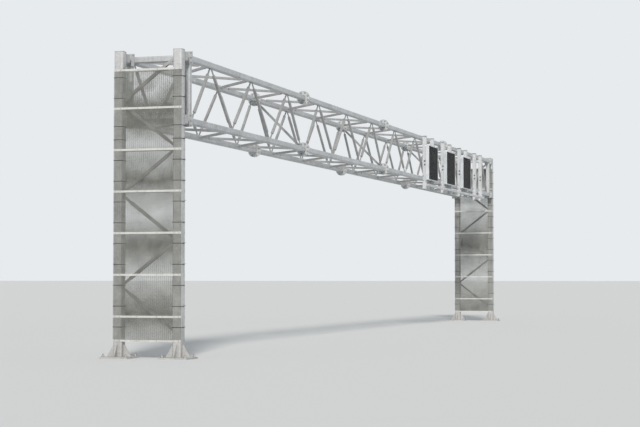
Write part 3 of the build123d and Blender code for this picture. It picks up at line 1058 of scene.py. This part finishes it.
def add_tie(bm, centre, inward, outward, lean):
    """A band round a leg and its wire, with a knot and one end left long."""
    reach_x = LEG / 2 + SCREEN_THICK + TIE_LIFT
    reach_y = LEG / 2 + TIE_LIFT
    for side in (-1, 1):
        add_box(bm, centre + Y * side * reach_y, (2 * reach_x, TIE_THICK, TIE_WIDTH))
        add_box(bm, centre + X * side * reach_x, (TIE_THICK, 2 * reach_y, TIE_WIDTH))
    root = centre + inward * reach_x * KNOT_ASIDE + outward * reach_y
    knot = root + outward * KNOT_OUT
    add_box(bm, knot, KNOT_SIZE)
    tip = root + inward * TAIL_ASIDE + outward * (TAIL_OUT + lean) + Z * (TAIL_UP + lean)
    add_rod(bm, knot, tip, radius=0.0035, sides=BEAD_SIDES)


def make_ties(end, sign):
    """Bands that hold the screens to the legs, every half metre."""
    bm = bmesh.new()
    count = int((SCREEN_HIGH.z - SCREEN_LOW.z - TIE_START) / TIE_PITCH) + 1
    for leg, y in enumerate(LEG_YS):
        for i in range(count):
            z = SCREEN_LOW.z + TIE_START + i * TIE_PITCH
            if abs(z - TRUSS_BOTTOM) < NOTCH_HALF + TIE_WIDTH:
                z = TRUSS_BOTTOM - NOTCH_HALF - TIE_BELOW_NOTCH
            lean = TAIL_LEAN * sin(2.3 * i + 1.7 * leg)
            add_tie(bm, Vector((sign * LEG_X, y, z)), -X * sign, Y if y > 0 else -Y, lean)
    finish_piece(f"{end}_screen_ties", bm, TIE_FINISH, rounded=False)


def make_strip_bolts(end):
    """Round-headed bolts through each flat bar into the legs and the wire."""
    bm = bmesh.new()
    low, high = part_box(f"{end}_screen_strips")
    whole_metres = range(1, int(SCREEN_HIGH.z) + 1)
    rows = [SCREEN_LOW.z + STRIP_HALF, *whole_metres, SCREEN_HIGH.z - STRIP_HALF]
    places = (HALF_WIDTH + STRIP_BOLT_ASIDE, HALF_WIDTH - STRIP_BOLT_ASIDE, HALF_WIDTH / 3)
    for face_x, direction in ((low.x, -X), (high.x, X)):
        for z in rows:
            for y in (side * place for place in places for side in (-1, 1)):
                base = Vector((face_x, y, z))
                top = base + direction * ROUND_HEAD_HEIGHT
                add_rod(bm, base, top, radius=0.013, sides=BOLT_SIDES, tip_radius=0.007)
    finish_bolts(f"{end}_strip_bolts", bm)


# Sign posts and rail

U_BOLT_RADIUS = 0.008
U_BOLT_CURVE = 0.022
U_BOLT_STEPS = 4
U_BOLT_END = 0.035
U_BOLT_ASIDE = 0.031
POST_SHANK = 0.016
POST_BOLT_ASIDE = 0.030
HOOK_BOLT_RISE = 0.035
WEB_SHANK = 0.030
WEB_BOLT_HEIGHTS = (TRUSS_MIDDLE - 0.25, TRUSS_MIDDLE - 0.11)
CAP_SHARE = 0.96
CAP_THICK = 0.004
CAP_PROUD = 0.001


def far_face(geom):
    """The face among what an operator returns."""
    return next(part for part in geom if isinstance(part, bmesh.types.BMFace))


def pull(bm, face, reach):
    """Extrude a face straight; returns its far face."""
    far = far_face(bmesh.ops.extrude_face_region(bm, geom=[face, *face.edges])["geom"])
    bmesh.ops.translate(bm, verts=far.verts[:], vec=reach)
    return far


def bend(bm, face, centre):
    """Spin a face a quarter turn from level to down, or from down to level."""
    turn = {"cent": centre, "axis": -X, "angle": pi / 2, "steps": U_BOLT_STEPS}
    return far_face(bmesh.ops.spin(bm, geom=[face, *face.edges], **turn)["geom_last"])


def add_u_bolt(bm, x, z):
    """A squared U bolt round the chord at height z, with nuts on the post's flange."""
    half = CHORD / 2 + U_BOLT_RADIUS
    seat_y = CHORD_FRONT - POST_FLANGE
    front = seat_y - U_BOLT_END
    curve_y = half - HALF_WIDTH - U_BOLT_CURVE
    curve_rise = half - U_BOLT_CURVE
    start = Matrix.Translation((x, front, z + half)) @ turn_to(Y)
    circle = {"cap_ends": True, "segments": ROD_SIDES, "radius": U_BOLT_RADIUS}
    end = bmesh.ops.create_circle(bm, matrix=start, **circle)["verts"][0].link_faces[0]
    end = pull(bm, end, Y * (curve_y - front))
    end = bend(bm, end, (x, curve_y, z + curve_rise))
    end = pull(bm, end, -Z * 2 * curve_rise)
    end = bend(bm, end, (x, curve_y, z - curve_rise))
    pull(bm, end, -Y * (curve_y - front))
    for side in (-1, 1):
        spot = (x, seat_y, z + side * half)
        seat = add_washer(bm, spot, -Y, radius=0.016, thickness=0.003)
        add_hexagon(bm, seat, -Y, across=0.025, height=0.014)


def make_post_clamps():
    """U bolts that hold each post on the bottom chord."""
    bm = bmesh.new()
    for x in POST_XS:
        for side in (-U_BOLT_ASIDE, U_BOLT_ASIDE):
            add_u_bolt(bm, x + side, TRUSS_BOTTOM)
    bmesh.ops.recalc_face_normals(bm, faces=bm.faces)
    finish_bolts("post_u_bolts", bm)


def make_post_bolts():
    """Bolts in the hooks over the top chord and through the rail, and near-black bolts in the
    webs, whose darkness is painted shade for dark holes there.
    """
    bm, dark = bmesh.new(), bmesh.new()
    rail_z = (RAIL_LOW.z + RAIL_HIGH.z) / 2
    web_y = (CHORD_FRONT + POST_FRONT) / 2
    for x in POST_XS:
        for side in (-POST_BOLT_ASIDE, POST_BOLT_ASIDE):
            lip = (x + side, POSTS_HIGH.y, TRUSS_TOP + HOOK_BOLT_RISE)
            add_bolt_head(bm, (x + side, -HALF_WIDTH, POSTS_HIGH.z), Z, POST_SHANK)
            add_bolt_head(bm, lip, Y, POST_SHANK)
            add_bolt_head(bm, (x + side, RAIL_LOW.y, rail_z), -Y, POST_SHANK)
        # These web bolts get the near-black finish, which is painted shade for dark holes in the
        # webs.
        for z in WEB_BOLT_HEIGHTS:
            add_bolt_head(dark, (x - POST_WEB / 2, web_y, z), -X, WEB_SHANK)
            add_nut_end(dark, (x + POST_WEB / 2, web_y, z), X, WEB_SHANK)
    finish_bolts("post_bolts", bm)
    finish_piece("post_web_bolts", dark, SHADE_PAINTED_BOLT_FINISH)


def make_rail_caps():
    """Pressed steel caps in the open ends of the rail."""
    bm = bmesh.new()
    middle = (RAIL_LOW + RAIL_HIGH) / 2
    size = (RAIL_HIGH.z - RAIL_LOW.z) * CAP_SHARE
    for x, side in ((RAIL_LOW.x, -1), (RAIL_HIGH.x, 1)):
        place = (x + side * CAP_PROUD, middle.y, middle.z)
        add_box(bm, place, (CAP_THICK, size, size))
    ease(bm, bm.edges[:], offset=0.001)
    finish_piece("rail_end_caps", bm, PLATE_FINISH, rounded=False)


# Sign cabinets

BEZEL = 0.030
RECESS = 0.022
CABINET_CORNER = 0.012
SHEET_EASE = 0.0025

# Vents, hinges and latches
VENT_SLATS = 7
VENT_PITCH = 0.018
VENT_RISE = 0.10
VENT_DROP = 0.22
SLAT_SHARE = 0.55
SLAT_THICK = 0.006
SLAT_HEIGHT = 0.005
SLAT_PROUD = 0.002
SLAT_TILT = radians(35)
HINGE_INSET = 0.18
KNUCKLE_INSET = 0.004
KNUCKLE_DEPTH = 0.014
KNUCKLE_HALF = 0.045
LEAF_PLACE = Vector((-0.016, -0.0095, 0))
LATCH_INSET = 0.30
LATCH_DEPTH = 0.004
LATCH_GRIP_OUT = 0.006

# Roof sheet, drip edge and pads
TRIM_SHARE = 0.985
TRIM_LONG_EDGE = 0.05
ROOF_SHARE = 0.98
ROOF_THICK = 0.003
DRIP_DEPTH = 0.006
DRIP_DROP = 0.006
DRIP_HEIGHT = 0.016
PAD_INSET = 0.12
PAD_SUNK = 0.003
PAD_SIZE = (POST_WIDTH + 0.05, 0.005, 0.05)

# Display faces
TILES_ACROSS = 12
TILES_UP = 10
TILE_GAP = 0.002
TILE_DEPTH = 0.007
BACKING = 0.003
FACE_GAP = 0.003
LOUVRE_DEPTH = 0.007
LOUVRE_THICK = 0.0012
LOUVRE_LEAN = radians(12)
LOUVRE_SHORT = 0.004
LOUVRE_SUNK = 0.001
SEAL_RADIUS = 0.005


def make_housing(node, number):
    """Folded aluminium housing: a box with rounded corners and a framed, sunk front."""
    low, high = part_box(node)
    bm = bmesh.new()
    add_box(bm, (low + high) / 2, high - low)
    front = [face for face in bm.faces if face.normal.y < -0.9]
    bmesh.ops.inset_region(bm, faces=front, thickness=BEZEL, depth=0)
    sunk = bmesh.ops.extrude_discrete_faces(bm, faces=front)["faces"]
    corners = [corner for face in sunk for corner in face.verts]
    bmesh.ops.translate(bm, verts=corners, vec=Y * RECESS)
    bmesh.ops.remove_doubles(bm, verts=bm.verts, dist=1e-6)
    ease(bm, edges_along(bm, Y), CABINET_CORNER, steps=4)
    ease(bm, edges_between(bm, 60, 180), SHEET_EASE, steps=2)
    name = f"sign_{number}_housing"
    finish_piece(name, bm, ALUMINIUM_FINISH, [node], rounded=False)


def add_vents(bm, low, high):
    """Sloped slats low and high on both sides."""
    middle_y = (low.y + high.y) / 2
    size = (SLAT_THICK, (high.y - low.y) * SLAT_SHARE, SLAT_HEIGHT)
    for edge_x, side in ((low.x, -1), (high.x, 1)):
        tilt = Matrix.Rotation(side * SLAT_TILT, 4, "Y")
        for start in (low.z + VENT_RISE, high.z - VENT_DROP):
            for i in range(VENT_SLATS):
                spot = (edge_x + side * SLAT_PROUD, middle_y, start + i * VENT_PITCH)
                add_box(bm, spot, size, tilt)


def add_hinges(bm, low, high):
    """Three hinges with knuckles and leaves at the right of the bezel."""
    half = Z * KNUCKLE_HALF
    for z in (low.z + HINGE_INSET, (low.z + high.z) / 2, high.z - HINGE_INSET):
        knuckle = Vector((high.x - KNUCKLE_INSET, low.y + KNUCKLE_DEPTH, z))
        add_rod(bm, knuckle - half, knuckle + half, radius=0.007, sides=12)
        add_box(bm, knuckle + LEAF_PLACE, size=(0.030, 0.003, 0.085))


def add_latches(bm, low, high):
    """Two quarter-turn latches at the left of the bezel."""
    for z in (low.z + LATCH_INSET, high.z - LATCH_INSET):
        latch = Vector((low.x + BEZEL / 2, low.y, z))
        add_rod(bm, latch, latch - Y * LATCH_DEPTH, radius=0.011, sides=14)
        add_box(bm, latch - Y * LATCH_GRIP_OUT, size=(0.004, 0.006, 0.020))


def make_trim(node, number):
    """Vents, hinges, latches, a roof sheet, a drip edge and the pads on the posts."""
    low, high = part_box(node)
    middle, size = (low + high) / 2, high - low
    bm = bmesh.new()
    add_vents(bm, low, high)
    add_hinges(bm, low, high)
    add_latches(bm, low, high)
    width = size.x * TRIM_SHARE
    roof = (middle.x, middle.y, high.z + ROOF_THICK / 2)
    drip = (middle.x, low.y - DRIP_DEPTH / 2, high.z - DRIP_DROP)
    add_box(bm, roof, (width, size.y * ROOF_SHARE, ROOF_THICK))
    add_box(bm, drip, (width, DRIP_DEPTH, DRIP_HEIGHT))
    for side in (-1, 1):
        for z in (low.z + PAD_INSET, high.z - PAD_INSET):
            add_box(bm, (middle.x + side * POST_SPACING / 2, high.y - PAD_SUNK, z), PAD_SIZE)
    ease(bm, [edge for edge in bm.edges if edge.calc_length() > TRIM_LONG_EDGE], offset=0.0006)
    finish_piece(f"sign_{number}_trim", bm, ALUMINIUM_FINISH, rounded=False)


def face_box(node):
    """Middle of a cabinet's display face, in its front plane, and its width and height."""
    low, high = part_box(node)
    edge = 2 * (BEZEL + FACE_GAP)
    middle = (low + high) / 2
    middle.y = low.y + RECESS - BACKING - TILE_DEPTH
    return middle, high.x - low.x - edge, high.z - low.z - edge


FACES = [face_box(node) for node in CABINETS]


def make_tiles():
    """Dark display fronts made of square lamp tiles."""
    bm = bmesh.new()
    for middle, width, height in FACES:
        step_x, step_z = width / TILES_ACROSS, height / TILES_UP
        size = (step_x - TILE_GAP, TILE_DEPTH, step_z - TILE_GAP)
        first = middle + Vector((step_x - width, TILE_DEPTH, step_z - height)) / 2
        for i in range(TILES_ACROSS):
            for j in range(TILES_UP):
                add_box(bm, first + X * i * step_x + Z * j * step_z, size)
    ease(bm, bm.edges[:], offset=0.0008)
    finish_piece("display_tiles", bm, DISPLAY_FINISH, ["sign_faces"], rounded=False)


def make_louvres():
    """A black backing to each face, and thin blades that lean down over its rows of lamps."""
    bm = bmesh.new()
    lean = Matrix.Rotation(LOUVRE_LEAN, 4, "X")
    for middle, width, height in FACES:
        back = middle + Y * (TILE_DEPTH + BACKING / 2)
        add_box(bm, back, (width, BACKING, height))
        size = (width - LOUVRE_SHORT, LOUVRE_DEPTH, LOUVRE_THICK)
        first_row = int((middle.z - height / 2) / LAMP_PITCH) + 1
        last_row = int((middle.z + height / 2) / LAMP_PITCH)
        for row in range(first_row, last_row + 1):
            spot = (middle.x, middle.y - LOUVRE_DEPTH / 2 + LOUVRE_SUNK, row * LAMP_PITCH)
            add_box(bm, spot, size, lean)
    finish_piece("display_louvres", bm, LOUVRE_FINISH, rounded=False)


def make_seals():
    """Rubber cords round the display faces."""
    bm = bmesh.new()
    for middle, width, height in FACES:
        up, across = Z * height / 2, X * (width - SEAL_RADIUS) / 2
        for side in (-1, 1):
            upright = middle + X * side * width / 2
            level = middle + Z * side * height / 2
            add_rod(bm, upright - up, upright + up, SEAL_RADIUS)
            add_rod(bm, level - across, level + across, SEAL_RADIUS)
    finish_piece("display_seals", bm, SEAL_FINISH)


make_camera()
make_lights()
make_world()
make_floor()
dress_truss()
dress_towers()
dress_sign_supports()
make_truss_welds()
make_splices()
make_brace_bolts()
for end, sign in ENDS:
    make_end_details(end, sign)
    make_seat_bolts(end)
    make_seat_welds(end, sign)
    make_anchors(end, sign)
    make_tower_welds(end, sign)
    make_screens(end, sign)
    make_ties(end, sign)
    make_strip_bolts(end)
make_post_clamps()
make_post_bolts()
make_rail_caps()
for number, node in enumerate(CABINETS, start=1):
    make_housing(node, number)
    make_trim(node, number)
make_tiles()
make_louvres()
make_seals()

bpy.context.scene.view_settings.view_transform = "Standard"
